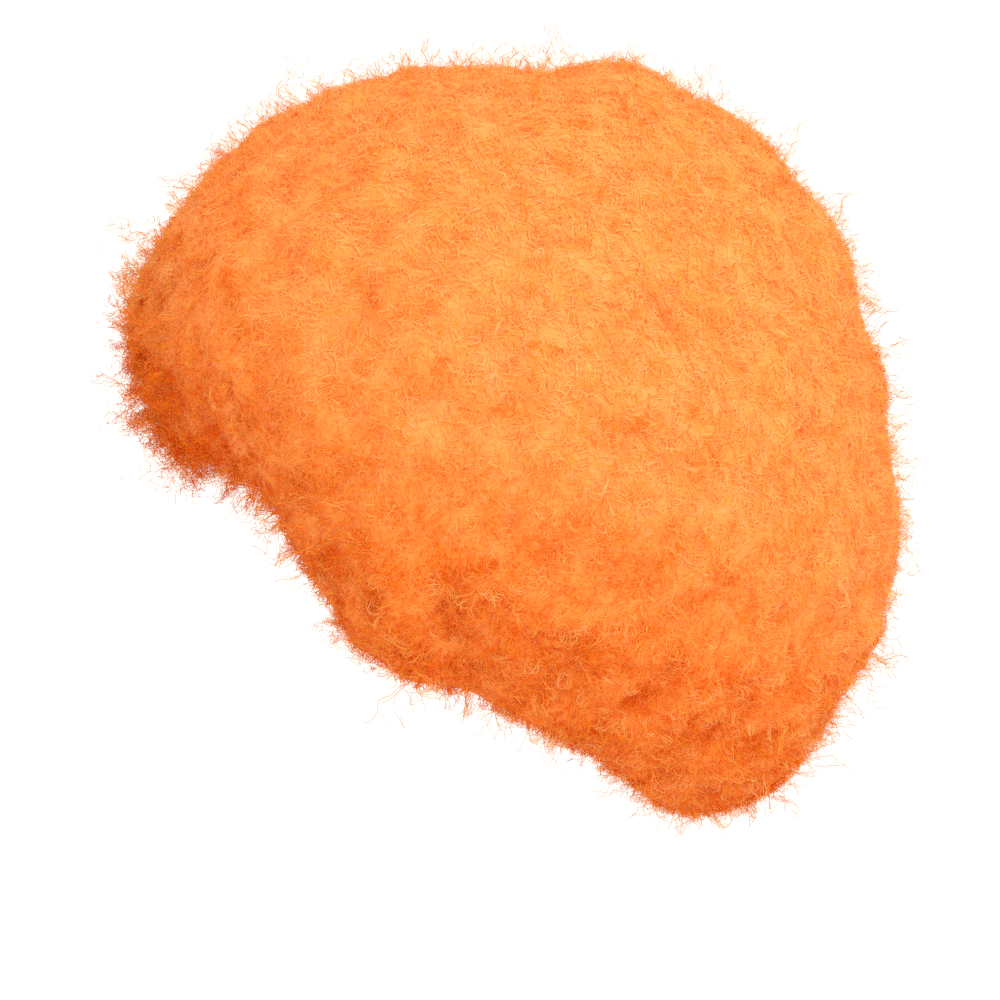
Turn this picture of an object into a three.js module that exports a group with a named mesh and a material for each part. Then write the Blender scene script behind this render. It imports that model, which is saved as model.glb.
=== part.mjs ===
// A big round curly wig: an elastic-edged net cap that carries rings of frizzed hair wefts.
// Millimetres, +Z up, the face looks towards -Y. The origin is where the crown of the head
// meets the inside of the cap.
import * as THREE from "three";
import { mergeVertices } from "three/addons/utils/BufferGeometryUtils.js";

// The head hollow: half sizes of the inside of the cap, measured from the middle of the head.
const HEAD_HALF_WIDTH = 78;
const HEAD_HALF_LENGTH = 100;
const HEAD_ABOVE_MIDDLE = 75;
const HEAD_BELOW_MIDDLE = 125;

const CAP_WALL = 1.6;
const BAND_WIDTH = 14;
const BAND_WALL = 2.6;
const SEAM_GAP = 0.4;

const CREASE_DEPTH = 12;
const LOCK_UNEVENNESS = 4;
const ROOT_GAP = 0.8;
const PARTING = 0.004;
const ROW_SWAY = 0.022;

const CAP_STEPS_ROUND = 48;
const CAP_STEPS_UP = 9;
const LOCK_STEPS_ROUND = 4;
const LOCK_STEPS_UP = 4;
const ROOT_STEPS_UP = 2;
const WELD = 1e-4;

// The rim of the cap: degrees above the middle of the head, at degrees round from the face.
// It clears the forehead, passes over the ear and ends at the nape.
const CAP_RIM = [
  { round: 0, up: 9 },
  { round: 35, up: 3 },
  { round: 60, up: -13 },
  { round: 80, up: -23 },
  { round: 100, up: -29 },
  { round: 125, up: -38 },
  { round: 150, up: -45 },
  { round: 180, up: -48 },
];

// The lower edge of the hair, in the same degrees: the fringe over the forehead, the edge that
// runs down the cheek in front of the ear, and the deep edge behind the neck.
const HAIR_EDGE = [
  { round: 0, up: -4 },
  { round: 30, up: -6 },
  { round: 42, up: -12 },
  { round: 52, up: -22 },
  { round: 61, up: -34 },
  { round: 70, up: -43 },
  { round: 85, up: -50 },
  { round: 105, up: -54 },
  { round: 130, up: -58 },
  { round: 180, up: -59 },
];

// How far the hair stands out from the middle of the head, seen in front, at the side and behind.
const HAIR_REACH = [
  { up: 90, front: 195, side: 195, back: 195 },
  { up: 75, front: 191, side: 195, back: 207 },
  { up: 60, front: 186, side: 197, back: 228 },
  { up: 45, front: 181, side: 197, back: 237 },
  { up: 30, front: 174, side: 197, back: 241 },
  { up: 15, front: 163, side: 196, back: 242 },
  { up: 0, front: 135, side: 193, back: 248 },
  { up: -15, front: 100, side: 191, back: 257 },
  { up: -30, front: 97, side: 188, back: 259 },
  { up: -45, front: 95, side: 182, back: 256 },
  { up: -60, front: 92, side: 171, back: 236 },
];

// Dents in the hair, on both sides: where each is deepest, how far it spreads and how deep it is.
// The first parts the lobe in front of the ear from the hair behind it, the second lies above it.
const DENTS = [
  { round: 99, up: -36, spreadRound: 8, spreadUp: 14, depth: 17 },
  { round: 78, up: -6, spreadRound: 12, spreadUp: 7, depth: 7 },
];

// The wefts, from the rim up: the share of the way from rim to crown where each row of hair is
// sewn on, the number of locks that it is parted into, and its orange, which pales upwards.
const WEFTS = [
  { name: "weft_rim", from: 0, to: 0.12, locks: 22, color: 0xe9722c },
  { name: "weft_nape", from: 0.12, to: 0.25, locks: 22, color: 0xf07c34 },
  { name: "weft_temple", from: 0.25, to: 0.38, locks: 22, color: 0xf68a41 },
  { name: "weft_middle", from: 0.38, to: 0.51, locks: 20, color: 0xfa964b },
  { name: "weft_upper", from: 0.51, to: 0.64, locks: 18, color: 0xfb9d52 },
  { name: "weft_top", from: 0.64, to: 0.77, locks: 14, color: 0xfba255 },
  { name: "weft_swirl", from: 0.77, to: 0.89, locks: 10, color: 0xfba052 },
  { name: "weft_crown", from: 0.89, to: 1, locks: 5, color: 0xfa9e4e },
];
const HAIR_ROUGHNESS = 0.8;

const NET_FINISH = { color: 0xb5551b, roughness: 0.9 };
const ELASTIC_FINISH = { color: 0xc9641f, roughness: 0.75 };

const STRAIGHT_UP = 90;
const { degToRad, lerp, radToDeg } = THREE.MathUtils;

// The value of a column where a table's key column passes a place, on a smooth curve.
function readTable(table, key, column, place) {
  const rows = table[0][key] < table.at(-1)[key] ? table : [...table].reverse();
  const last = rows.length - 1;
  const above = rows.findIndex((row) => row[key] >= place);
  const next = above < 0 ? last : Math.max(above, 1);
  const slope = (a, b) => (rows[b][column] - rows[a][column]) / (rows[b][key] - rows[a][key]);
  const slopeAt = (row) => slope(Math.max(row - 1, 0), Math.min(row + 1, last));
  const span = rows[next][key] - rows[next - 1][key];
  const t = THREE.MathUtils.clamp((place - rows[next - 1][key]) / span, 0, 1);
  const start = rows[next - 1][column] + slopeAt(next - 1) * span * t;
  const end = rows[next][column] - slopeAt(next) * span * (1 - t);
  return lerp(start, end, t * t * (3 - 2 * t));
}

// A point at a distance from the middle of the head: round is 0 at the face and turns towards +X.
function pointAt(round, up, distance) {
  const level = distance * Math.cos(degToRad(up));
  return new THREE.Vector3(
    level * Math.sin(round),
    -level * Math.cos(round),
    distance * Math.sin(degToRad(up)) - HEAD_ABOVE_MIDDLE,
  );
}

// The distance from the middle of the head to the inside of the cap.
function headRadius(round, up) {
  const height = up > 0 ? HEAD_ABOVE_MIDDLE : HEAD_BELOW_MIDDLE;
  const direction = pointAt(round, up, 1).setZ(Math.sin(degToRad(up)));
  return 1 / Math.hypot(direction.x / HEAD_HALF_WIDTH, direction.y / HEAD_HALF_LENGTH, direction.z / height);
}

// The distance from the middle of the head to the tips of the hair, on quarter ellipses.
function hairReach(round, up) {
  const end = Math.cos(round) > 0 ? "front" : "back";
  const along = Math.cos(round) / readTable(HAIR_REACH, "up", end, up);
  const across = Math.sin(round) / readTable(HAIR_REACH, "up", "side", up);
  return 1 / Math.hypot(along, across);
}

const roundDegrees = (round) => Math.abs(radToDeg(round));
const capRim = (round) => readTable(CAP_RIM, "round", "up", roundDegrees(round));
const hairEdge = (round) => readTable(HAIR_EDGE, "round", "up", roundDegrees(round));
const bandTop = (round) => capRim(round) + radToDeg(BAND_WIDTH / headRadius(round, capRim(round)));

// A closed body turned on a lathe from sections of [share of the way to the crown, depth], and
// then bent onto the head by a function that places each of its corners.
function turnedAndBent(sections, stepsRound, place) {
  const profile = sections.map(([share, depth]) => new THREE.Vector2(1 - share, depth));
  const body = new THREE.LatheGeometry(profile, stepsRound);
  const corners = body.getAttribute("position");
  for (let i = 0; i < corners.count; i++) {
    const round = Math.atan2(corners.getX(i), corners.getZ(i));
    const share = 1 - Math.hypot(corners.getX(i), corners.getZ(i));
    const placed = place(round, share, corners.getY(i));
    corners.setXYZ(i, placed.x, placed.y, placed.z);
  }
  body.deleteAttribute("normal");
  body.deleteAttribute("uv");
  const welded = mergeVertices(body, WELD);
  welded.computeVertexNormals();
  return welded;
}

// Turns the diagonals of the last strip of a lathe's squares, which is a weft's upper side, so
// that it is parallel to the lower side of the weft above.
function splitLastStripTheOtherWay(body, strips) {
  const index = body.getIndex();
  for (let square = strips - 1; 6 * square < index.count; square += strips) {
    const [a, b, d, c] = [0, 1, 2, 3].map((corner) => index.getX(6 * square + corner));
    [a, b, c, a, c, d].forEach((vertex, corner) => index.setX(6 * square + corner, vertex));
  }
  body.computeVertexNormals();
  return body;
}

// Shares of the way from one place to another, in equal steps.
const steps = (from, to, count) => Array.from({ length: count + 1 }, (_, i) => lerp(from, to, i / count));

// The net cap: a dome from the top of the elastic band to the crown, one wall thick.
function netCap() {
  const inside = steps(1, 0, CAP_STEPS_UP).map((share) => [share, 0]);
  const outside = steps(0, 1, CAP_STEPS_UP).map((share) => [share, CAP_WALL]);
  const place = (round, share, depth) => {
    const seam = bandTop(round) + radToDeg(SEAM_GAP / HEAD_HALF_WIDTH);
    const up = lerp(seam, STRAIGHT_UP, share);
    return pointAt(round, up, headRadius(round, up) + depth);
  };
  return turnedAndBent([...inside, ...outside], CAP_STEPS_ROUND, place);
}

// The elastic edge band below the cap, flush with it outside and thicker inside. Its shares are
// halved on the lathe, which keeps the ring clear of the axis.
function edgeBand() {
  const inner = CAP_WALL - BAND_WALL;
  const sections = [
    [1, inner],
    [0, inner],
    [0, CAP_WALL],
    [1, CAP_WALL],
    [1, inner],
  ].map(([share, depth]) => [share / 2, depth]);
  const place = (round, share, depth) => {
    const up = lerp(capRim(round), bandTop(round), 2 * share);
    return pointAt(round, up, headRadius(round, up) + depth);
  };
  return turnedAndBent(sections, CAP_STEPS_ROUND, place);
}

// How full a weft is at a place: 1 on the middle of a lock, 0 in the creases round it. Every
// other weft is turned by half a lock, so that its locks cover the creases of the one below.
function lockFullness(weft, round, share) {
  const turns = (round / (2 * Math.PI)) * weft.locks + (WEFTS.indexOf(weft) % 2) / 2;
  const across = 2 * (turns - Math.floor(turns)) - 1;
  const along = 2 * ((share - weft.from) / (weft.to - weft.from)) - 1;
  const edge = weft.to === 1 ? Math.min(along, 0) : along;
  return (1 - across ** 2) * (1 - edge ** 2);
}

// How far the hair is dented at a place.
function dentDepth(round, up) {
  const depths = DENTS.map((dent) => {
    const sideways = (roundDegrees(round) - dent.round) / dent.spreadRound;
    const upwards = (up - dent.up) / dent.spreadUp;
    return dent.depth * Math.exp(-(sideways ** 2) - upwards ** 2);
  });
  return Math.max(...depths);
}

// A slow unevenness from -1 to 1 that makes neighbouring locks stand out by different amounts.
function unevenness(round, share) {
  return (Math.sin(5 * round + 9 * share) + Math.sin(3 * round - 17 * share + 1)) / 2;
}

// One weft: a ring of locks, from a sewn strip on the cap out to the rounded ends of the hair.
// Depth is 0 at the roots and 1 at the tips.
function weftRing(weft) {
  const crown = weft.to === 1;
  const lower = weft.from + PARTING / 2;
  const upper = crown ? 1 : weft.to - PARTING / 2;
  const roots = steps(upper, lower, ROOT_STEPS_UP).map((share) => [share, 0]);
  const tips = steps(lower, upper, LOCK_STEPS_UP).map((share) => [share, 1]);
  const sections = crown ? [...roots, ...tips] : [...roots, ...tips, roots[0]];
  const place = (round, share, depth) => {
    const sway = ROW_SWAY * Math.sin(3 * round + 11 * share) * Math.sin(Math.PI * share);
    const sewn = share + sway;
    const rootUp = lerp(capRim(round), STRAIGHT_UP, sewn);
    const tipUp = lerp(hairEdge(round), STRAIGHT_UP, sewn);
    const root = pointAt(round, rootUp, headRadius(round, rootUp) + CAP_WALL + ROOT_GAP);
    const bulge = LOCK_UNEVENNESS * unevenness(round, share) * Math.sin(Math.PI * share);
    const hollow = CREASE_DEPTH * (1 - lockFullness(weft, round, share)) + dentDepth(round, tipUp);
    return root.lerp(pointAt(round, tipUp, hairReach(round, tipUp) + bulge - hollow), depth);
  };
  const ring = turnedAndBent(sections, weft.locks * LOCK_STEPS_ROUND, place);
  return crown ? ring : splitLastStripTheOtherWay(ring, sections.length - 1);
}

function named(name, geometry, finish) {
  const mesh = new THREE.Mesh(geometry, new THREE.MeshStandardMaterial({ metalness: 0, ...finish }));
  mesh.name = name;
  return mesh;
}

const wig = new THREE.Group();
wig.add(named("cap", netCap(), NET_FINISH));
wig.add(named("edge_band", edgeBand(), ELASTIC_FINISH));
for (const weft of WEFTS) {
  const finish = { color: weft.color, roughness: HAIR_ROUGHNESS };
  wig.add(named(weft.name, weftRing(weft), finish));
}

export default wig;
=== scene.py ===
import math

import bmesh
import bpy
import numpy as np
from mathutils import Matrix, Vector
from mathutils.bvhtree import BVHTree


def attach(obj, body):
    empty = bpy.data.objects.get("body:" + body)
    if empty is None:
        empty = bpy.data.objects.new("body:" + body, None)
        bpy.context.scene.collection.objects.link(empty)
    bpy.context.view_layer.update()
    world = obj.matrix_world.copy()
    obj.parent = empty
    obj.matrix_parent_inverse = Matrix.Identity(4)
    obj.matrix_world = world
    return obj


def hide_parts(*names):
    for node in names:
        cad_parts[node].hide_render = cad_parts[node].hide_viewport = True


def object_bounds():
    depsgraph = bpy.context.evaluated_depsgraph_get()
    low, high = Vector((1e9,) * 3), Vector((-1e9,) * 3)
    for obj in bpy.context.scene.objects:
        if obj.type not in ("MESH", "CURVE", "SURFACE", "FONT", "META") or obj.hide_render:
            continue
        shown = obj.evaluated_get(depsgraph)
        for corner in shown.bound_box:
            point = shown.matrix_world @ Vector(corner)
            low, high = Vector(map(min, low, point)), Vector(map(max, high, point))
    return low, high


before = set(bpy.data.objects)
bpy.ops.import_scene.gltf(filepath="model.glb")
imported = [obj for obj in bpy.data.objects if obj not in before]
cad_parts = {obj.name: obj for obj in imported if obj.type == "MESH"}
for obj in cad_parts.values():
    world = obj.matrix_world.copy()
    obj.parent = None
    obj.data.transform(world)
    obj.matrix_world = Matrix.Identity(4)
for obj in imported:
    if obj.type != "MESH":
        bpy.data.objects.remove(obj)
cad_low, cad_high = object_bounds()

# The net cap
# A dome of dark orange stretch net, the inside of the wig, which carries all the hair.
# It is knitted in one piece, so it has no seam, and its threads stand up round small holes.
MM = 0.001
WELD = 0.01 * MM
NET_DARK = (0.10, 0.022, 0.006, 1)
NET_THREAD = (0.42, 0.11, 0.025, 1)
NET_HOLES_PER_METRE = 420
NET_THREAD_HEIGHT = 0.3 * MM


def welded(*nodes):
    """A bmesh with the faces of these solids, welded and with their triangles paired."""
    shape = bmesh.new()
    for node in nodes:
        shape.from_mesh(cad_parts[node].data)
    bmesh.ops.remove_doubles(shape, verts=shape.verts, dist=WELD)
    bmesh.ops.join_triangles(
        shape, faces=shape.faces, angle_face_threshold=0.6, angle_shape_threshold=0.9
    )
    shape.normal_update()
    return shape


def new_piece(name, shape):
    """A smooth shaded object at the origin from a finished bmesh."""
    mesh = bpy.data.meshes.new(name)
    shape.to_mesh(mesh)
    shape.free()
    mesh.shade_smooth()
    piece = bpy.data.objects.new(name, mesh)
    bpy.context.scene.collection.objects.link(piece)
    return piece


def finish_of(name):
    """A new material with its node tree, its shader and its Object coordinates."""
    material = bpy.data.materials.new(name)
    material.use_nodes = True
    tree = material.node_tree
    shader = tree.nodes["Principled BSDF"]
    place = tree.nodes.new("ShaderNodeTexCoord")
    return material, tree, shader, place.outputs["Object"]


def add_ramp(tree, value, stops):
    """A colour ramp that reads a value; stops are pairs of position and colour."""
    ramp = tree.nodes.new("ShaderNodeValToRGB")
    points = ramp.color_ramp.elements
    while len(points) < len(stops):
        points.new(0.5)
    for point, (position, colour) in zip(points, stops):
        point.position = position
        point.color = colour
    tree.links.new(value, ramp.inputs["Fac"])
    return ramp.outputs["Color"]


def add_bump(tree, shader, height, strength, depth):
    """Raises the surface where height is large."""
    bump = tree.nodes.new("ShaderNodeBump")
    bump.inputs["Strength"].default_value = strength
    bump.inputs["Distance"].default_value = depth
    tree.links.new(height, bump.inputs["Height"])
    tree.links.new(bump.outputs["Normal"], shader.inputs["Normal"])


def net_finish():
    material, tree, shader, place = finish_of("stretch_net")
    holes = tree.nodes.new("ShaderNodeTexVoronoi")
    holes.feature = "DISTANCE_TO_EDGE"
    holes.inputs["Scale"].default_value = NET_HOLES_PER_METRE
    tree.links.new(place, holes.inputs["Vector"])
    stops = ((0.0, NET_THREAD), (0.16, NET_THREAD), (0.30, NET_DARK))
    colour = add_ramp(tree, holes.outputs["Distance"], stops)
    tree.links.new(colour, shader.inputs["Base Color"])
    add_bump(tree, shader, colour, 0.7, NET_THREAD_HEIGHT)
    shader.inputs["Roughness"].default_value = 0.62
    return material


cap = new_piece("net_cap", welded("cap"))
cap_round = cap.modifiers.new("knitted_round", "SUBSURF")
cap_round.levels = 1
cap_round.render_levels = 1
cap.data.materials.append(net_finish())
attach(cap, "root")
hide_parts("cap")

# The elastic edge
# A ribbed elastic tape, dyed to match, that is folded over the rim of the net and keeps the wig on.
# Its ribs run across the tape, and it is sewn to the net along its upper edge.
RIBS_ROUND = 150
RIB_HEIGHT = 0.22 * MM
RIB_CUTS = 5
LEAST_TURN_ROUND = 0.04
TAPE_DARK = (0.20, 0.045, 0.010, 1)
TAPE_LIGHT = (0.50, 0.14, 0.030, 1)
TAPE_GRAINS_PER_METRE = 900
TAPE_GRAIN_HEIGHT = 0.2 * MM

tape = welded("edge_band")
around = [
    edge for edge in tape.edges
    if abs(edge.verts[0].co.to_2d().angle_signed(edge.verts[1].co.to_2d(), 0)) > LEAST_TURN_ROUND
]
bmesh.ops.subdivide_edges(tape, edges=around, cuts=RIB_CUTS, use_grid_fill=True)
tape.normal_update()
for vert in tape.verts:
    turn = math.atan2(vert.co.x, -vert.co.y)
    vert.co += vert.normal * RIB_HEIGHT * math.cos(RIBS_ROUND * turn)


def add_noise(tree, place, scale, detail):
    """A cloudy random texture with this many grains a metre."""
    noise = tree.nodes.new("ShaderNodeTexNoise")
    noise.inputs["Scale"].default_value = scale
    noise.inputs["Detail"].default_value = detail
    tree.links.new(place, noise.inputs["Vector"])
    return noise


def tape_finish():
    material, tree, shader, place = finish_of("elastic_tape")
    threads = add_noise(tree, place, TAPE_GRAINS_PER_METRE, 3).outputs["Fac"]
    colour = add_ramp(tree, threads, ((0.3, TAPE_DARK), (0.7, TAPE_LIGHT)))
    tree.links.new(colour, shader.inputs["Base Color"])
    add_bump(tree, shader, threads, 0.5, TAPE_GRAIN_HEIGHT)
    shader.inputs["Roughness"].default_value = 0.7
    return material


band = new_piece("elastic_edge", tape)
band.data.materials.append(tape_finish())
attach(band, "root")
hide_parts("edge_band")

# The stitching
# Rows of dark orange thread inside the cap, where a machine sewed the rings of hair to the net.
# A zigzag row holds the elastic tape. Each stitch is a short piece of thread that dips into the net.
THREAD_RADIUS = 0.35 * MM
THREAD_SIDES = 6
STITCH_TURN = math.radians(2.2)
STITCH_GAP = math.radians(1.6)
ROW_LEVELS = (-14, -28, -42, -56, -70, -84, -98)
ZIGZAG_TURN = math.radians(1.5)
ZIGZAG_RISE = 3 * MM
LONGEST_ZIGZAG = 3 * ZIGZAG_RISE
SAME_TURN = 0.995
THREAD_DARK = (0.30, 0.070, 0.014, 1)
THREAD_LIGHT = (0.62, 0.19, 0.045, 1)
THREAD_GRAINS_PER_METRE = 1500
THREAD_GRAIN_HEIGHT = 0.1 * MM


def solid_tree(nodes):
    """A search tree over the triangles of these solids, and the solid that each one is part of."""
    points = []
    triangles = []
    owners = []
    for number, node in enumerate(nodes):
        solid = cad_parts[node].data
        first = len(points)
        points.extend(vert.co.copy() for vert in solid.vertices)
        triangles.extend([first + v for v in face.vertices] for face in solid.polygons)
        owners.extend(number for face in solid.polygons)
    return BVHTree.FromPolygons(points, triangles), owners


cap_tree, _ = solid_tree(("cap", "edge_band"))
tape_corners = [vert.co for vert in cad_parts["edge_band"].data.vertices]


def inside_at(turn, level):
    """The place on the inside of the cap at this turn from the front and this height, or None."""
    way = Vector((math.sin(turn), -math.cos(turn), 0))
    spot, normal, _, _ = cap_tree.ray_cast(Vector((0, 0, level)), way)
    if spot is None or normal.dot(way) > 0:
        return None
    return spot


def tape_top(turn):
    """The height of the upper edge of the elastic tape at this turn."""
    way = Vector((math.sin(turn), -math.cos(turn)))
    return max(corner.z for corner in tape_corners if corner.to_2d().normalized().dot(way) > SAME_TURN)


def add_stitch(shape, start, end):
    """A straight piece of thread between two places."""
    along = end - start
    turn = along.to_track_quat("Z", "Y").to_matrix().to_4x4()
    turn.translation = (start + end) / 2
    bmesh.ops.create_cone(
        shape, cap_ends=True, segments=THREAD_SIDES, radius1=THREAD_RADIUS, radius2=THREAD_RADIUS,
        depth=along.length, matrix=turn,
    )


def thread_finish():
    material, tree, shader, place = finish_of("sewing_thread")
    plies = add_noise(tree, place, THREAD_GRAINS_PER_METRE, 2).outputs["Fac"]
    colour = add_ramp(tree, plies, ((0.35, THREAD_DARK), (0.65, THREAD_LIGHT)))
    tree.links.new(colour, shader.inputs["Base Color"])
    add_bump(tree, shader, plies, 0.4, THREAD_GRAIN_HEIGHT)
    shader.inputs["Roughness"].default_value = 0.5
    return material


sewn = bmesh.new()
stitch_step = STITCH_TURN + STITCH_GAP
for level in ROW_LEVELS:
    for number in range(int(2 * math.pi / stitch_step)):
        turn = number * stitch_step
        start = inside_at(turn, level * MM)
        end = inside_at(turn + STITCH_TURN, level * MM)
        above_tape = level * MM > tape_top(turn) + ZIGZAG_RISE
        if start and end and above_tape:
            add_stitch(sewn, start, end)
for number in range(int(2 * math.pi / ZIGZAG_TURN)):
    turn = number * ZIGZAG_TURN
    rise = ZIGZAG_RISE * (0.5 if number % 2 else -0.5)
    start = inside_at(turn, tape_top(turn) + rise)
    end = inside_at(turn + ZIGZAG_TURN, tape_top(turn + ZIGZAG_TURN) - rise)
    if start and end and (end - start).length < LONGEST_ZIGZAG:
        add_stitch(sewn, start, end)
stitches = new_piece("weft_stitching", sewn)
stitches.data.materials.append(thread_finish())
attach(stitches, "root")

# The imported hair
# Eight rings of crimped synthetic hair, sewn to the net one above the other and teased into one mass.
# Deep down the fibres lie so close that they look solid. This is that core, just under the loose hair.
WEFTS = sorted(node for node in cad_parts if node.startswith("weft_"))
CORE_SWELL = 2.4 * MM
CORE_SINK = 3.4 * MM
LOW_SINK = 1.2 * MM
CORE_GRAIN = 4.5 * MM
CORE_SMOOTHINGS = 16
LUMP_WAVE = 40 * MM
LUMP_HEIGHT = 1.2 * MM
TUFT_WAVE = 24 * MM
TUFT_HEIGHT = 0.8 * MM
# The hollow of the cap is taken as an ellipsoid, deeper below its middle. Shares of it say how far out
# hair lies: by the cap it keeps its even skin, and farther out it is filled and smoothed so many times.
HOLLOW_MIDDLE = np.array((0, 0, -75)) * MM
HOLLOW_HALVES = np.array((78, 100, 75)) * MM
HOLLOW_LOW_HALVES = np.array((78, 100, 125)) * MM
BY_THE_CAP = 1.15
FILL_FROM = 1.25
FILL_STEPS = 260
OUTER_SMOOTHINGS = ((1.5, 16), (1.6, 16), (1.7, 24))
# The lower hair hangs in looser, smoother locks. It starts at this height, lower towards the back.
LOW_LEVEL = -125 * MM
LOW_SLOPE = 0.35
LOW_FADE = 45 * MM
LOW_STEEPNESS = 4
LOW_LUMPS = -0.4 * MM
LOW_TUFTS = -0.4 * MM
# Where the hair is pressed in, or stands out where the depth is negative: a place and its like on the
# other side, a depth and a spread, in millimetres. A press reaches farther across the wig than along it.
PRESSED = (
    ((0, 62, 122), 3.5, 30),
    ((0, 229, -22), 6.5, 30),
    ((0, 232, -176), -4.0, 26),
    ((0, 214, -209), 4.0, 24),
    ((0, 180, -246), -6.0, 22),
    ((0, -147, -60), 7.0, 20),
    ((0, -156, -36), 4.5, 20),
    ((140, 99, -227), -3.0, 14),
    ((150, -10, -165), -3.0, 16),
    ((150, 55, -174), -3.0, 20),
    ((150, 95, -182), -2.5, 20),
    ((140, 133, -212), -3.0, 18),
    ((145, 78, -190), -2.0, 12),
)
# The deep clefts between the lower locks, in the same way. The hair in them is also painted darker, as
# painted shade.
CLEFTS = (
    ((150, 17, -149), 4.0, 6),
    ((150, 14, -160), 6.0, 6),
    ((150, 13, -172), 6.0, 6),
    ((150, 20, -184), 4.0, 7),
    ((150, 34, -196), 3.0, 7),
    ((150, -18, -133), 2.5, 6),
    ((120, -99, -76), 4.0, 14),
    ((130, -54, -135), 3.0, 10),
    ((140, 24, -197), 4.0, 9),
    ((140, 69, -207), 2.5, 12),
    ((145, -23, -156), 2.5, 9),
    ((130, -8, -184), 2.0, 14),
    ((110, 165, -236), 3.0, 15),
)
PRESS_REACH = (0.25, 1, 1)
CLEFT_DEPTH = 6.0
CORE_DEEP = (0.70, 0.085, 0.002, 1)
CORE_DARK = (0.81, 0.205, 0.026, 1)
CORE_LIGHT = (0.82, 0.325, 0.108, 1)
FIBRES_ACROSS = 700
FIBRES_ALONG = 90
FIBRE_HEIGHT = 1.0 * MM
SWEEPS_PER_METRE = 30
SWEEP_BEND = 0.06
PATCHES_PER_METRE = 75
PATCH_WEIGHT = 0.28
# How much darker the lower core is painted, as painted shade.
LOW_CORE_PAINTED_SHADE = -0.08


def random_field(seed, wave, parts=30):
    """A smooth random number over space, about -1 to 1, that changes over the given wavelength."""
    draw = np.random.default_rng(seed)
    ways = draw.normal(size=(parts, 3))
    ways /= np.linalg.norm(ways, axis=1)[:, None]
    ways *= 2 * np.pi / (wave * draw.uniform(0.7, 1.5, parts))[:, None]
    shifts = draw.uniform(0, 2 * np.pi, parts)

    def value(points):
        return np.cos(points @ ways.T + shifts).sum(axis=1) * math.sqrt(1.2 / parts)

    return value


def main_island(shape):
    """Deletes every loose scrap but the largest connected shape."""
    left = set(shape.verts)
    islands = []
    while left:
        island = [left.pop()]
        for vert in island:
            for edge in vert.link_edges:
                other = edge.other_vert(vert)
                if other in left:
                    left.remove(other)
                    island.append(other)
        islands.append(island)
    islands.sort(key=len)
    for island in islands[:-1]:
        bmesh.ops.delete(shape, geom=island, context="VERTS")


def felted(shape, grain):
    """The same form as one closed skin of even squares."""
    rough = new_piece("felting", shape)
    remesh = rough.modifiers.new("felt", "REMESH")
    remesh.mode = "VOXEL"
    remesh.voxel_size = grain
    seen = rough.evaluated_get(bpy.context.evaluated_depsgraph_get())
    mesh = bpy.data.meshes.new_from_object(seen)
    skin = bmesh.new()
    skin.from_mesh(mesh)
    bpy.data.objects.remove(rough)
    bpy.data.meshes.remove(mesh)
    return skin


def corners_of(shape):
    return np.array([vert.co for vert in shape.verts])


def smoothed(shape, verts, times):
    """Evens out some corners of a shape."""
    for _ in range(times):
        bmesh.ops.smooth_vert(
            shape, verts=verts, factor=0.5, use_axis_x=True, use_axis_y=True, use_axis_z=True
        )


def hollows_filled(shape, amounts, times):
    """Lifts the corners that lie deeper than their neighbours, as far as their amounts say."""
    points = corners_of(shape)
    ways = np.array([vert.normal for vert in shape.verts])
    shape.verts.index_update()
    ends = np.array([[vert.index for vert in edge.verts] for edge in shape.edges])
    neighbours = np.bincount(ends.ravel(), minlength=len(points))[:, None]
    for _ in range(times):
        sums = np.zeros_like(points)
        np.add.at(sums, ends[:, 0], points[ends[:, 1]])
        np.add.at(sums, ends[:, 1], points[ends[:, 0]])
        rise = ((sums / neighbours - points) * ways).sum(axis=1)
        points += ways * (np.maximum(rise, 0) * amounts)[:, None]
    for vert, point in zip(shape.verts, points):
        vert.co = point
    shape.normal_update()


def hollow_share(points):
    """How far out points lie from the middle of the hollow: 1 at the net, more in the hair."""
    apart = points - HOLLOW_MIDDLE
    halves = np.where(apart[:, 2:] < 0, HOLLOW_LOW_HALVES, HOLLOW_HALVES)
    return np.linalg.norm(apart / halves, axis=1)


def low_share(points):
    """How far points belong to the lower hair: 0 above, 1 below."""
    level = points[:, 2] + LOW_SLOPE * points[:, 1] - LOW_LEVEL
    return 1 / (1 + np.exp(level / LOW_FADE * LOW_STEEPNESS))


def pressed_in(points, presses):
    """How deep the hair is pressed in at each point, in millimetres."""
    depths = np.zeros(len(points))
    folded = np.abs(points) * (1, 0, 0) + points * (0, 1, 1)
    for place, depth, spread in presses:
        apart = np.linalg.norm((folded / MM - place) * PRESS_REACH, axis=1) / spread
        depths += depth * np.exp(-apart ** 2)
    return depths


def cleft_share(points):
    """How far points lie in a cleft between two locks, 0 to 1."""
    return np.clip(pressed_in(points, CLEFTS) / CLEFT_DEPTH, 0, 1)


def add_sum(tree, node_type, operation, *terms):
    """A Math or Vector Math node; each term is another node's output or a value of its own."""
    node = tree.nodes.new(node_type)
    node.operation = operation
    for socket, term in zip(node.inputs, terms):
        if isinstance(term, bpy.types.NodeSocket):
            tree.links.new(term, socket)
        else:
            socket.default_value = term
    return node


def add_math(tree, operation, *terms):
    return add_sum(tree, "ShaderNodeMath", operation, *terms).outputs["Value"]


def add_fibres(tree, place, stretch):
    """Random streaks that are drawn out along the axis with the least stretch."""
    drawn = add_sum(tree, "ShaderNodeVectorMath", "MULTIPLY", place, stretch)
    fibres = add_noise(tree, drawn.outputs["Vector"], 1, 3)
    fibres.inputs["Distortion"].default_value = 0.6
    return fibres.outputs["Fac"]


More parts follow.
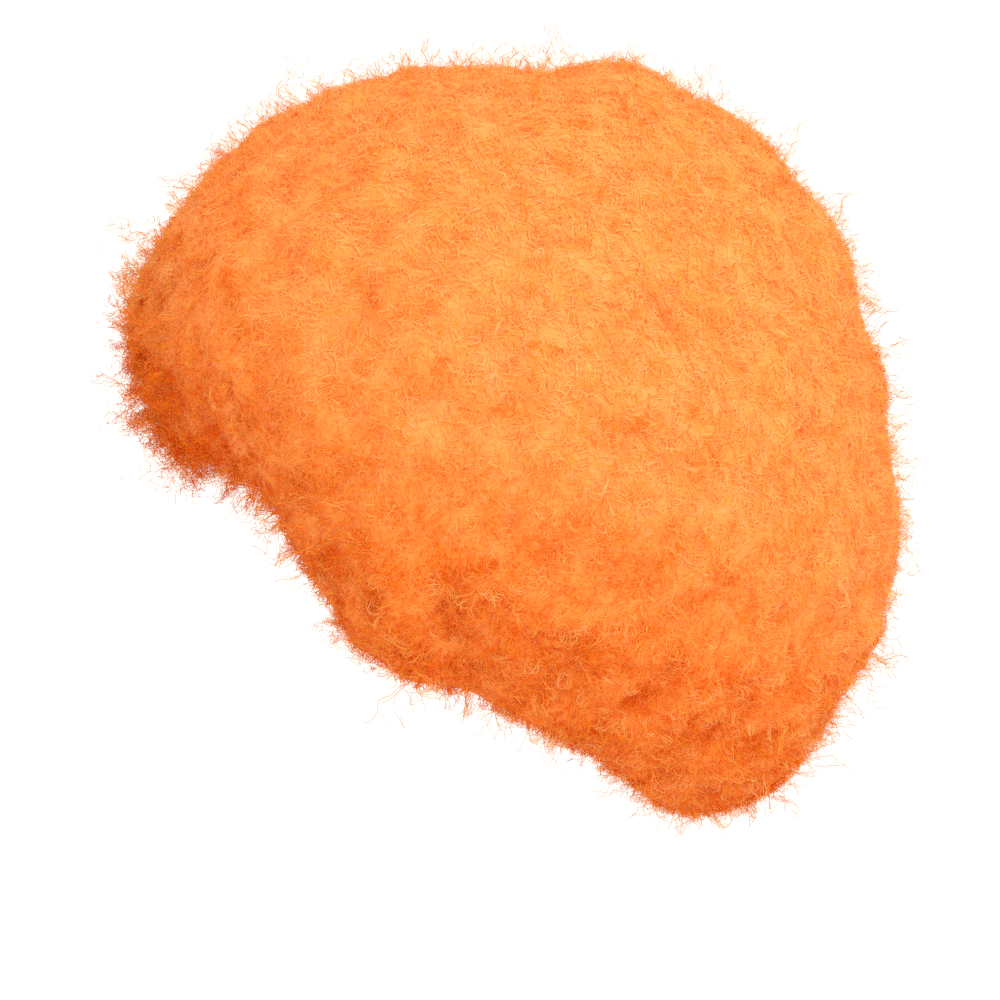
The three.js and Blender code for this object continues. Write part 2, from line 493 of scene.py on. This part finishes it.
def core_finish():
    material, tree, shader, place = finish_of("packed_hair")
    sweep = add_noise(tree, place, SWEEPS_PER_METRE, 2).outputs["Color"]
    bend = (SWEEP_BEND, SWEEP_BEND, SWEEP_BEND)
    bent = add_sum(tree, "ShaderNodeVectorMath", "MULTIPLY_ADD", sweep, bend, place).outputs["Vector"]
    upright = add_fibres(tree, bent, (FIBRES_ACROSS, FIBRES_ACROSS, FIBRES_ALONG))
    lengthways = add_fibres(tree, bent, (FIBRES_ACROSS, FIBRES_ALONG, FIBRES_ACROSS))
    sideways = add_fibres(tree, bent, (FIBRES_ALONG, FIBRES_ACROSS, FIBRES_ACROSS))
    higher = add_math(tree, "MAXIMUM", add_math(tree, "MAXIMUM", upright, lengthways), sideways)
    patches = add_noise(tree, place, PATCHES_PER_METRE, 2).outputs["Fac"]
    patched = add_math(tree, "MULTIPLY_ADD", patches, PATCH_WEIGHT, higher)
    # The core is painted darker and redder in the lower hair: painted shade, for hair that gets less
    # light there.
    level = add_sum(tree, "ShaderNodeVectorMath", "DOT_PRODUCT", place, (0, LOW_SLOPE, 1))
    shade = tree.nodes.new("ShaderNodeMapRange")
    shade.interpolation_type = "SMOOTHSTEP"
    shade.inputs["From Min"].default_value = LOW_LEVEL - LOW_FADE
    shade.inputs["From Max"].default_value = LOW_LEVEL + LOW_FADE
    shade.inputs["To Min"].default_value = LOW_CORE_PAINTED_SHADE
    shade.inputs["To Max"].default_value = 0
    tree.links.new(level.outputs["Value"], shade.inputs["Value"])
    shaded = add_math(tree, "ADD", patched, shade.outputs["Result"])
    colour = add_ramp(tree, shaded, ((0.3, CORE_DEEP), (0.6, CORE_DARK), (1.0, CORE_LIGHT)))
    tree.links.new(colour, shader.inputs["Base Color"])
    add_bump(tree, shader, higher, 0.35, FIBRE_HEIGHT)
    shader.inputs["Roughness"].default_value = 0.6
    shader.inputs["Specular IOR Level"].default_value = 0.12
    return material


core = welded(*WEFTS)
for vert in core.verts:
    vert.co += vert.normal * CORE_SWELL
core = felted(core, CORE_GRAIN)
main_island(core)
smoothed(core, core.verts, CORE_SMOOTHINGS)
outward = hollow_share(corners_of(core))
for share, times in OUTER_SMOOTHINGS:
    outer = [vert for vert, out in zip(core.verts, outward) if out > share]
    smoothed(core, outer, times)
core.normal_update()
core_points = corners_of(core)
low_and_outer = np.where(hollow_share(core_points) > FILL_FROM, low_share(core_points), 0)
hollows_filled(core, low_and_outer, FILL_STEPS)
lumps = random_field(11, LUMP_WAVE)
tufts = random_field(12, TUFT_WAVE)
core_points = corners_of(core)
lowness = low_share(core_points)
lift = (LUMP_HEIGHT + LOW_LUMPS * lowness) * lumps(core_points)
lift += (TUFT_HEIGHT + LOW_TUFTS * lowness) * tufts(core_points)
lift -= CORE_SINK + LOW_SINK * lowness
lift -= MM * pressed_in(core_points, PRESSED + CLEFTS)
lift = np.where(hollow_share(core_points) < BY_THE_CAP, -CORE_SINK, lift)
for vert, rise in zip(core.verts, lift):
    vert.co += vert.normal * rise
core.normal_update()
body = new_piece("hair_core", core)
body.data.materials.append(core_finish())
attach(body, "root")
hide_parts(*WEFTS)

# The loose hair
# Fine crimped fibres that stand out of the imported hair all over, one piece for each sewn ring.
# They were set in small curls and combed out, so each lock bends its own way and few lie straight.
WEFT_SEED = 100
ROOT_CLEAR = 5 * MM
FULL_CLEAR = 17 * MM
LEAST_ROOM = 0.15
TRIMMED = 10 * MM
HAIR_MAP = "OFBake"
# Each kind of hair, in millimetres and radians: strands a square metre, strands in one lock, segments,
# length, width, the height at its root and at its crest, its turn to and fro, the length of one turn,
# how far it strays from its neighbours, whether it rises to its tip, the depth and length of its crimp,
# how pale it is, and how much darker its tip is painted, as painted shade for fibre ends that catch
# little light.
KINDS = {
    "wisp": {
        "each": 150000, "lock": 1, "parts": 3, "length": 9, "width": 0.36, "low": -0.6, "high": 5.0,
        "turn": 0.9, "wave": 24, "stray": 0.6, "rise": 0, "crimp": 0, "ripple": 6,
        "pale": 0.06, "tip": 0,
    },
    "frizz": {
        "each": 30000, "lock": 5, "parts": 6, "length": 15, "width": 0.25, "low": 0.0, "high": 8.5,
        "turn": 1.6, "wave": 18, "stray": 1.1, "rise": 0, "crimp": 0.3, "ripple": 5,
        "pale": 0.04, "tip": 0,
    },
    "flyaway": {
        "each": 16500, "lock": 4, "parts": 12, "length": 19, "width": 0.25, "low": 1.0, "high": 15.0,
        "turn": 2.0, "wave": 20, "stray": 1.4, "rise": 1, "crimp": 1.0, "ripple": 7,
        "pale": -0.03, "tip": -0.4,
    },
}
FREE_CURL = 1
# How chance changes the sizes of a lock, or of each strand in it, as shares of what its kind says.
LOCK_LENGTHS = (0.8, 1.2)
STRAND_LENGTHS = (0.85, 1.15)
LOCK_WAVES = (0.7, 1.4)
LOCK_TURNS = (0.5, 1.4)
LOCK_CRESTS = (0.4, 1.0)
STRAND_CRESTS = (0.8, 1.1)
LOCK_RIPPLES = (0.7, 1.4)
STRAND_CRIMPS = (0.4, 1.3)
STRAND_WIDTHS = (0.7, 1.3)
ROOT_JITTER = 2.5 * MM
ROOT_UNEVEN = 0.4 * MM
LOCK_SPREAD = 1.2 * MM
# How the lie of the hair changes over the wig: the way it sweeps, where its curls start to turn, and
# where it stands up more. The lower hair is denser and keeps more together.
SWEEP_WAVE = 38 * MM
SWEEP_STRAY = 0.15
CURL_WAVE = 26 * MM
CURL_SHIFT = 2.5
STRAY_SHIFT = 2
CRIMP_SHIFT = 0.6
WILD_WAVE = 22 * MM
WILD_CREST = 0.7
WILD_BOUNDS = (0.3, 2.0)
CLEFT_CREST = 0.5
UPPER_FLUFF = 0.6
LOW_DENSER = 0.9
LOW_LOCKED = 0.6
ARCH = 0.8
RIBBON_TILT = 0.3
RIBBON_TIP = 0.65
RIBBON_ROOT = 0.15
# How pale a strand is, 0 to 1, and how much of that each cause takes or gives. Clouds, patches, locks
# and strands vary at random. The rest is painted light and shade: hair that faces down, lies in front,
# lies in a cleft or in the lower hair, or lies deep under its crest, is painted darker and redder as
# painted shade, where less light gets in; tuft tops and the lower curls are painted paler as painted
# highlight; dark tips are painted shade.
TONE_MIDDLE = 0.5
TONE_WAVE = 24 * MM
TONE_CLOUDS = 0.02
PATCH_WAVE = 13 * MM
TONE_PATCHES = 0.02
TONE_TUFT_LIGHT_AND_SHADE = 0.06
TONE_LOCKS = 0.05
TONE_STRANDS = 0.02
TONE_CLEFT_SHADE = -0.2
TONE_SHADED = -0.20
SHADED_WAY = np.array((0, -0.3, -0.95))
SHADED_FROM = -0.15
SHADED_MOST = 0.65
TONE_FRONT_SHADE = -0.05
FRONT_SHADE_PLACE = -105 * MM
FRONT_SHADE_SPREAD = 24 * MM
TONE_LOW_CURL_HIGHLIGHT = 0.06
TONE_LOW_SHADE = -0.11
TONE_DEPTH_SHADE = 0.08
TONE_LOW_DEPTH_SHADE = 0.22
DEPTH_SHADE_MIDDLE = 0.65
TIP_FROM = 2 / 3
HAIR_SHADES = (
    (0.0, (0.50, 0.070, 0.006, 1)),
    (0.2, (0.80, 0.128, 0.004, 1)),
    (0.35, (0.855, 0.232, 0.010, 1)),
    (0.5, (0.86, 0.370, 0.074, 1)),
    (1.0, (0.90, 0.60, 0.340, 1)),
)
SHADE_EDGE = 0.02
SHADE_HALF = 0.01
LIGHT_THROUGH = 0.35

body_mesh = body.data
body_tree = BVHTree.FromObject(body, bpy.context.evaluated_depsgraph_get())
face_count = len(body_mesh.polygons)
face_middles = np.empty(face_count * 3)
face_areas = np.empty(face_count)
body_mesh.polygons.foreach_get("center", face_middles)
body_mesh.polygons.foreach_get("area", face_areas)
face_middles = face_middles.reshape(-1, 3)
weft_tree, weft_owners = solid_tree(WEFTS)
face_weft = np.array([
    weft_owners[weft_tree.find_nearest(Vector(middle))[2]] for middle in face_middles
])


def clearance(points):
    """How far points lie from the cap and its edge."""
    return np.array([cap_tree.find_nearest(Vector(point))[3] for point in points])


face_clear = clearance(face_middles)
sweep_fields = [random_field(seed, SWEEP_WAVE) for seed in (21, 22, 23)]
patch_field = random_field(24, PATCH_WAVE)
tone_field = random_field(25, TONE_WAVE)
curl_field = random_field(26, CURL_WAVE)
wild_field = random_field(27, WILD_WAVE)


def unit(vectors):
    return vectors / np.maximum(np.linalg.norm(vectors, axis=1), 1e-9)[:, None]


def along_skin(vectors, ways):
    """Unit vectors square to the ways out, as near as can be to these."""
    return unit(vectors - (vectors * ways).sum(axis=1)[:, None] * ways)


def turned(vectors, axes, angles):
    """Each vector turned about its own unit axis."""
    cosines = np.cos(angles)[:, None]
    sines = np.sin(angles)[:, None]
    along = (vectors * axes).sum(axis=1)[:, None] * axes
    return vectors * cosines + np.cross(axes, vectors) * sines + along * (1 - cosines)


def onto_core(points):
    """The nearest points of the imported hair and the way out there."""
    spots = np.empty_like(points)
    ways = np.empty_like(points)
    for index, point in enumerate(points):
        spot, way, _, _ = body_tree.find_nearest(point)
        spots[index] = spot
        ways[index] = way
    return spots, ways


def is_curl(kind):
    """Whether hair of this kind is a free curl, and not a wisp that lies with its neighbours."""
    return kind["stray"] > FREE_CURL


def crest_shares(kind, spots):
    """How much of its full height hair of one kind reaches at each spot."""
    if is_curl(kind):
        return np.clip(1 + WILD_CREST * wild_field(spots), *WILD_BOUNDS)
    fluff = UPPER_FLUFF + (1 - UPPER_FLUFF) * low_share(spots)
    return fluff * (1 - CLEFT_CREST * cleft_share(spots))


def spot_tones(kind, spots, ways):
    """How pale hair of one kind is at each spot, before chance has its part, painted shade and highlight
    included.
    """
    lowness = low_share(spots)
    tones = TONE_MIDDLE + kind["pale"] + TONE_CLOUDS * tone_field(spots)
    # Tuft tops in the lower hair are painted paler and the hollows between darker: painted light and
    # shade that follow the lifted tufts of the core.
    tones += TONE_PATCHES * patch_field(spots) + TONE_TUFT_LIGHT_AND_SHADE * lowness * tufts(spots)
    # Hair in a cleft is painted darker: painted shade.
    tones += TONE_CLEFT_SHADE * cleft_share(spots)
    # Hair that faces down is painted darker and redder, up to a limit: painted shade.
    tones += TONE_SHADED * np.clip(ways @ SHADED_WAY - SHADED_FROM, 0, SHADED_MOST)
    # A band across the front, where the curls turn to the face, is painted darker: painted shade.
    tones += TONE_FRONT_SHADE * np.exp(-((spots[:, 1] - FRONT_SHADE_PLACE) / FRONT_SHADE_SPREAD) ** 2)
    # In the lower hair the wisps are painted darker as painted shade, and the free curls paler as
    # painted highlight.
    return tones + lowness * (TONE_LOW_CURL_HIGHLIGHT if is_curl(kind) else TONE_LOW_SHADE)


def crossways(paths, facing):
    """Unit vectors across the paths, square to the way that they face."""
    across = np.cross(np.gradient(paths, axis=1), facing)
    return across / np.maximum(np.linalg.norm(across, axis=2), 1e-9)[:, :, None]


def crimped(paths, outs, kind, length, lock, draw):
    """The paths with a fine wave laid over them, each lock in its own plane."""
    count, points, _ = paths.shape
    locks = lock[-1] + 1
    across = crossways(paths, outs)
    tilt = draw.uniform(0, 2 * np.pi, (locks, 1, 1))[lock]
    plane = across * np.cos(tilt) + outs * np.sin(tilt)
    ripple = kind["ripple"] * MM * draw.uniform(*LOCK_RIPPLES, locks)[lock]
    depth = kind["crimp"] * MM * draw.uniform(*STRAND_CRIMPS, count)
    turns = 2 * np.pi * np.linspace(0, 1, points)[None, :] * (length / ripple)[:, None]
    turns = turns + draw.uniform(0, 2 * np.pi, (locks, 1))[lock]
    turns = turns + draw.normal(size=(count, 1)) * CRIMP_SHIFT
    waves = np.sin(turns) * depth[:, None]
    coils = np.cos(turns) * depth[:, None] * draw.uniform(0, 1, (count, 1))
    other = outs * np.cos(tilt) - across * np.sin(tilt)
    return paths + plane * waves[:, :, None] + other * coils[:, :, None]


def grow(kind, roots, draw):
    """Paths, outward ways and tones of locks of strands of one kind that start near these roots."""
    lock = np.repeat(np.arange(len(roots)), kind["lock"])
    count = len(lock)

    def shared(bounds):
        """A random number between two bounds for each lock, given to all of its strands."""
        return draw.uniform(*bounds, len(roots))[lock]

    spots = (roots + draw.uniform(-1, 1, (len(roots), 3)) * ROOT_JITTER)[lock]
    if kind["lock"] > 1:
        spots = spots + draw.uniform(-1, 1, (count, 3)) * LOCK_SPREAD
    spots, ways = onto_core(spots)
    lowness = low_share(spots)
    stray = kind["stray"] * (1 - LOW_LOCKED * lowness)
    sweep = np.stack([field(spots) for field in sweep_fields], axis=1)
    sweep += draw.normal(size=sweep.shape) * SWEEP_STRAY
    heading = along_skin(sweep, ways)
    heading = turned(heading, ways, draw.normal(size=len(roots))[lock] * stray)
    length = kind["length"] * MM * shared(LOCK_LENGTHS) * draw.uniform(*STRAND_LENGTHS, count)
    step = length / kind["parts"]
    wave = kind["wave"] * MM * shared(LOCK_WAVES)
    swing = kind["turn"] * shared(LOCK_TURNS)
    start = CURL_SHIFT * curl_field(spots) + draw.normal(size=len(roots))[lock] * STRAY_SHIFT * stray
    low = kind["low"] * MM + draw.normal(size=count) * ROOT_UNEVEN
    crest = kind["high"] * MM * shared(LOCK_CRESTS) * draw.uniform(*STRAND_CRESTS, count)
    crest *= crest_shares(kind, spots)
    room = np.clip((clearance(spots) - ROOT_CLEAR) / (FULL_CLEAR - ROOT_CLEAR), LEAST_ROOM, 1)
    tone = spot_tones(kind, spots, ways)
    tone += draw.normal(size=len(roots))[lock] * TONE_LOCKS + draw.normal(size=count) * TONE_STRANDS
    # Each strand is painted darker towards its roots and paler at its crest, more so in the lower hair:
    # painted shade for fibres deep in the hair.
    depth_shade = TONE_DEPTH_SHADE + TONE_LOW_DEPTH_SHADE * lowness
    points = kind["parts"] + 1
    paths = np.empty((count, points, 3))
    outs = np.empty((count, points, 3))
    tones = np.empty((count, points))
    for number in range(points):
        share = number / kind["parts"]
        arch = share ** ARCH if kind["rise"] else math.sin(math.pi * share) ** ARCH
        height = low + (crest - low) * arch
        paths[:, number] = spots + ways * (height * room)[:, None]
        outs[:, number] = ways
        # Kinds with a tip value get their last third painted darker: painted shade for fibre ends that
        # catch little light.
        tip = max(0, share - TIP_FROM) / (1 - TIP_FROM)
        tones[:, number] = tone + depth_shade * (arch - DEPTH_SHADE_MIDDLE) + kind["tip"] * tip
        if number == kind["parts"]:
            break
        here = share * length
        bend = np.sin(start + 2 * np.pi * (here + step) / wave) - np.sin(start + 2 * np.pi * here / wave)
        heading = turned(heading, ways, swing * bend)
        spots, ways = onto_core(spots + heading * step[:, None])
        heading = along_skin(heading, ways)
    paths = crimped(paths, outs, kind, length, lock, draw)
    kept = (paths > np.array(cad_low) - TRIMMED) & (paths < np.array(cad_high) + TRIMMED)
    kept = kept.all(axis=(1, 2))
    return paths[kept], outs[kept], tones[kept]


def ribbons(paths, outs, width, tones, draw):
    """Corners, faces and map of narrow ribbons along the paths, wide side outwards."""
    count, points, _ = paths.shape
    sides = crossways(paths, outs + draw.normal(size=(count, 1, 3)) * RIBBON_TILT)
    share = np.linspace(0, 1, points)
    taper = RIBBON_TIP + (1 - RIBBON_TIP) * np.sin(np.pi * (RIBBON_ROOT + (1 - RIBBON_ROOT) * share))
    half = sides * taper[None, :, None] * width * draw.uniform(*STRAND_WIDTHS, (count, 1, 1)) / 2
    corners = np.stack((paths - half, paths + half), axis=2).reshape(-1, 3)
    first = (np.arange(count)[:, None] * points + np.arange(points - 1)[None, :]) * 2
    faces = np.stack((first, first + 1, first + 3, first + 2), axis=2).reshape(-1, 4)
    shades = np.clip(tones, SHADE_EDGE, 1 - SHADE_EDGE)
    across = shades[:, :, None] + np.array((-SHADE_HALF, SHADE_HALF))
    along = np.broadcast_to(share[None, :, None], (count, points, 2))
    places = np.stack((across, along), axis=3).reshape(-1, 2)
    return corners, faces, places[faces.ravel()]


def strand_mesh(name, bundles):
    """One mesh from the corners, faces and maps of several bundles of ribbons."""
    corners = np.concatenate([bundle[0] for bundle in bundles])
    firsts = np.cumsum([0] + [len(bundle[0]) for bundle in bundles[:-1]])
    faces = np.concatenate([bundle[1] + first for bundle, first in zip(bundles, firsts)])
    places = np.concatenate([bundle[2] for bundle in bundles])
    mesh = bpy.data.meshes.new(name)
    mesh.vertices.add(len(corners))
    mesh.vertices.foreach_set("co", corners.astype(np.float32).ravel())
    mesh.loops.add(faces.size)
    mesh.loops.foreach_set("vertex_index", faces.astype(np.int32).ravel())
    mesh.polygons.add(len(faces))
    mesh.polygons.foreach_set("loop_start", np.arange(0, faces.size, 4, dtype=np.int32))
    hair_map = mesh.uv_layers.new(name=HAIR_MAP)
    hair_map.data.foreach_set("uv", places.astype(np.float32).ravel())
    mesh.update(calc_edges=True)
    mesh.validate()
    mesh.shade_smooth()
    return mesh


def strand_finish():
    """Fibre that lets some light through; the map's first number says how pale it is, painted shade
    included.
    """
    material = bpy.data.materials.new("loose_hair")
    material.use_nodes = True
    tree = material.node_tree
    shader = tree.nodes["Principled BSDF"]
    where = tree.nodes.new("ShaderNodeUVMap")
    where.uv_map = HAIR_MAP
    split = tree.nodes.new("ShaderNodeSeparateXYZ")
    tree.links.new(where.outputs["UV"], split.inputs["Vector"])
    colour = add_ramp(tree, split.outputs["X"], HAIR_SHADES)
    tree.links.new(colour, shader.inputs["Base Color"])
    shader.inputs["Roughness"].default_value = 0.55
    shader.inputs["Specular IOR Level"].default_value = 0.06
    through = tree.nodes.new("ShaderNodeBsdfTranslucent")
    tree.links.new(colour, through.inputs["Color"])
    blend = tree.nodes.new("ShaderNodeMixShader")
    blend.inputs["Fac"].default_value = LIGHT_THROUGH
    tree.links.new(shader.outputs["BSDF"], blend.inputs[1])
    tree.links.new(through.outputs["BSDF"], blend.inputs[2])
    tree.links.new(blend.outputs["Shader"], tree.nodes["Material Output"].inputs["Surface"])
    return material


def spread_out(weights, count):
    """Picks that many places in order, each as often as its weight, as evenly as can be."""
    ends = np.cumsum(weights) / weights.sum()
    return np.searchsorted(ends, (np.arange(count) + 0.5) / count)


loose_hair = strand_finish()


def hair_piece(name, bundles):
    strands = bpy.data.objects.new(name, strand_mesh(name, bundles))
    bpy.context.scene.collection.objects.link(strands)
    strands.data.materials.append(loose_hair)
    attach(strands, "root")


for number, weft in enumerate(WEFTS):
    draw = np.random.default_rng(WEFT_SEED + number)
    usable = np.flatnonzero((face_weft == number) & (face_clear > ROOT_CLEAR))
    bundles = []
    for kind in KINDS.values():
        weights = face_areas[usable]
        if is_curl(kind):
            weights = weights * (1 + LOW_DENSER * low_share(face_middles[usable]))
        count = int(kind["each"] / kind["lock"] * weights.sum())
        chosen = usable[spread_out(weights, count)]
        paths, outs, tones = grow(kind, face_middles[chosen], draw)
        bundles.append(ribbons(paths, outs, kind["width"] * MM, tones, draw))
    hair_piece(weft.replace("weft_", "") + "_hair", bundles)

# The fringe
# The loose ends of the lowest ring in front, which hang in small open curls.
# They are the same fibre, only longer, and stand so far apart that light comes through.
FRINGE_SEED = 200
FRINGE_MIDDLE = np.array((0, -132, -72)) * MM
FRINGE_SPREAD = np.array((95, 44, 60)) * MM
FRINGE_STRANDS = 1820
# Its tips are painted darker, as painted shade for fibre ends that catch little light.
FRINGE_KIND = {
    "lock": 7, "parts": 28, "length": 34, "width": 0.33, "low": 1.0, "high": 18.0,
    "turn": 2.2, "wave": 16, "stray": 1.4, "rise": 1, "crimp": 2.0, "ripple": 7,
    "pale": 0.04, "tip": -0.35,
}


def fringe_share(points):
    """How far points belong to the fringe, 0 to 1."""
    return np.exp(-(((points - FRINGE_MIDDLE) / FRINGE_SPREAD) ** 2).sum(axis=1))


draw = np.random.default_rng(FRINGE_SEED)
usable = np.flatnonzero(face_clear > ROOT_CLEAR)
weights = face_areas[usable] * fringe_share(face_middles[usable])
chosen = usable[spread_out(weights, FRINGE_STRANDS // FRINGE_KIND["lock"])]
paths, outs, tones = grow(FRINGE_KIND, face_middles[chosen], draw)
hair_piece("fringe_hair", [ribbons(paths, outs, FRINGE_KIND["width"] * MM, tones, draw)])

# The studio
# A pale floor, painted grey towards its middle as a painted shadow under the wig, and white
# surroundings, one large soft light above, on the wig's left and a little behind it, and a long lens
# level with the middle of the hair, which sees the left side of the wig square on.
VIEW_MIDDLE = Vector((0, 38, -104.6)) * MM
VIEW_WIDTH = 510 * MM
CAMERA_AWAY = 2.5
SENSOR = 36
FLOOR_LEVEL = -0.65
FLOOR_HALF = 40
FLOOR_SHADOW_REACH = 2.6
FLOOR_SHADOW_SHADES = ((0.3, (0.82, 0.82, 0.82, 1)), (1.0, (0.97, 0.97, 0.97, 1)))
GLOW_TINT = (1, 0.985, 0.92, 1)
GLOW_STRENGTH = 1.17
KEY_PLACE = Vector((2.1, 1.1, 1.5))
KEY_WATTS = 71
KEY_WIDTH = 2.0
KEY_TINT = (0.84, 0.92, 1)
HAIR_BOUNCES = 12

ground = bmesh.new()
bmesh.ops.create_grid(ground, x_segments=4, y_segments=4, size=FLOOR_HALF)
bmesh.ops.translate(ground, verts=ground.verts, vec=(0, 0, FLOOR_LEVEL))
floor = new_piece("floor", ground)
floor_finish, floor_tree, floor_shader, floor_place = finish_of("white_floor")
# The floor is painted darker towards its middle: a painted shadow under the wig, which also sends less
# light up to its underside.
apart = add_sum(floor_tree, "ShaderNodeVectorMath", "LENGTH", floor_place).outputs["Value"]
shadow_fade = add_math(floor_tree, "MULTIPLY", apart, 1 / FLOOR_SHADOW_REACH)
floor_colour = add_ramp(floor_tree, shadow_fade, FLOOR_SHADOW_SHADES)
floor_tree.links.new(floor_colour, floor_shader.inputs["Base Color"])
floor_shader.inputs["Roughness"].default_value = 0.9
floor_shader.inputs["Specular IOR Level"].default_value = 0
floor.data.materials.append(floor_finish)

surroundings = bpy.data.worlds.new("white_surroundings")
surroundings.use_nodes = True
glow = surroundings.node_tree.nodes["Background"]
glow.inputs["Color"].default_value = GLOW_TINT
glow.inputs["Strength"].default_value = GLOW_STRENGTH
bpy.context.scene.world = surroundings
bpy.context.scene.view_settings.view_transform = "Standard"
bpy.context.scene.cycles.use_denoising = False
bpy.context.scene.cycles.diffuse_bounces = HAIR_BOUNCES

lamp = bpy.data.lights.new("key_light", "AREA")
lamp.energy = KEY_WATTS
lamp.size = KEY_WIDTH
lamp.color = KEY_TINT
lamp.shape = "DISK"
key_light = bpy.data.objects.new("key_light", lamp)
key_light.location = KEY_PLACE
key_light.rotation_euler = (VIEW_MIDDLE - KEY_PLACE).to_track_quat("-Z", "Y").to_euler()
bpy.context.scene.collection.objects.link(key_light)

lens = bpy.data.cameras.new("side_view")
lens.sensor_width = SENSOR
lens.lens = SENSOR * CAMERA_AWAY / VIEW_WIDTH
camera = bpy.data.objects.new("side_view", lens)
camera.location = VIEW_MIDDLE + Vector((CAMERA_AWAY, 0, 0))
camera.rotation_euler = (math.radians(90), 0, math.radians(90))
bpy.context.scene.collection.objects.link(camera)
bpy.context.scene.camera = camera
